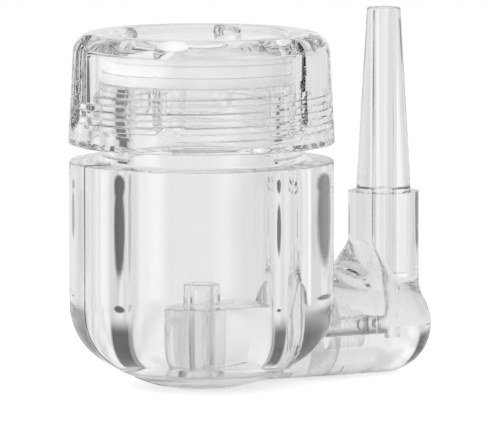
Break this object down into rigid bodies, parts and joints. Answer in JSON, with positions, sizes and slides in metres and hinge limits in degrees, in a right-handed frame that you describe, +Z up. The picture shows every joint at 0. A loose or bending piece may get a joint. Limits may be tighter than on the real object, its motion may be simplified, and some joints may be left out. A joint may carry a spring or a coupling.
{
  "type": "carbon dioxide diffuser",
  "caption": "Clear acrylic aquarium CO2 diffuser: round cup with a threaded cap over a ceramic disc, and a side arm with elbow and tapered hose stem.",
  "frame": {"origin": "centre of the cup's flat foot, on the cup's axis", "axes": "+Z up the cup's axis to the cap, +X along the arm to the hose stem"},
  "size_m": [0.0474, 0.0322, 0.0448],
  "materials": {
    "clear_cup": "polished clear acrylic",
    "clear_cap": "moulded clear acrylic",
    "clear_elbow": "polished clear acrylic",
    "clear_stem": "moulded clear acrylic",
    "clear_nozzle": "moulded clear acrylic",
    "silicone": "translucent silicone",
    "ceramic": "fine porous white ceramic"
  },
  "bodies": {
    "cup": {"cup": "clear_cup", "elbow": "clear_elbow", "hose_stem": "clear_stem", "nozzle_tube": "clear_nozzle", "lower_seal": "silicone", "ceramic_disc": "ceramic"},
    "gasket": {"upper_seal": "silicone"},
    "cap": {"cap": "clear_cap"}
  },
  "joints": [
    {"name": "cap_lift", "type": "slide", "parent": "cup", "child": "gasket", "axis": [0, 0, 1], "range_m": [0, 0.00665]},
    {"name": "cap_turn", "type": "hinge", "parent": "gasket", "child": "cap", "pos_m": [0, 0, 0.0361], "axis": [0, 0, 1], "range_deg": [0, 1440]}
  ],
  "couplings": [
    {"joint": "cap_lift", "follows": "cap_turn", "m_per_rad": 0.0002642}
  ]
}
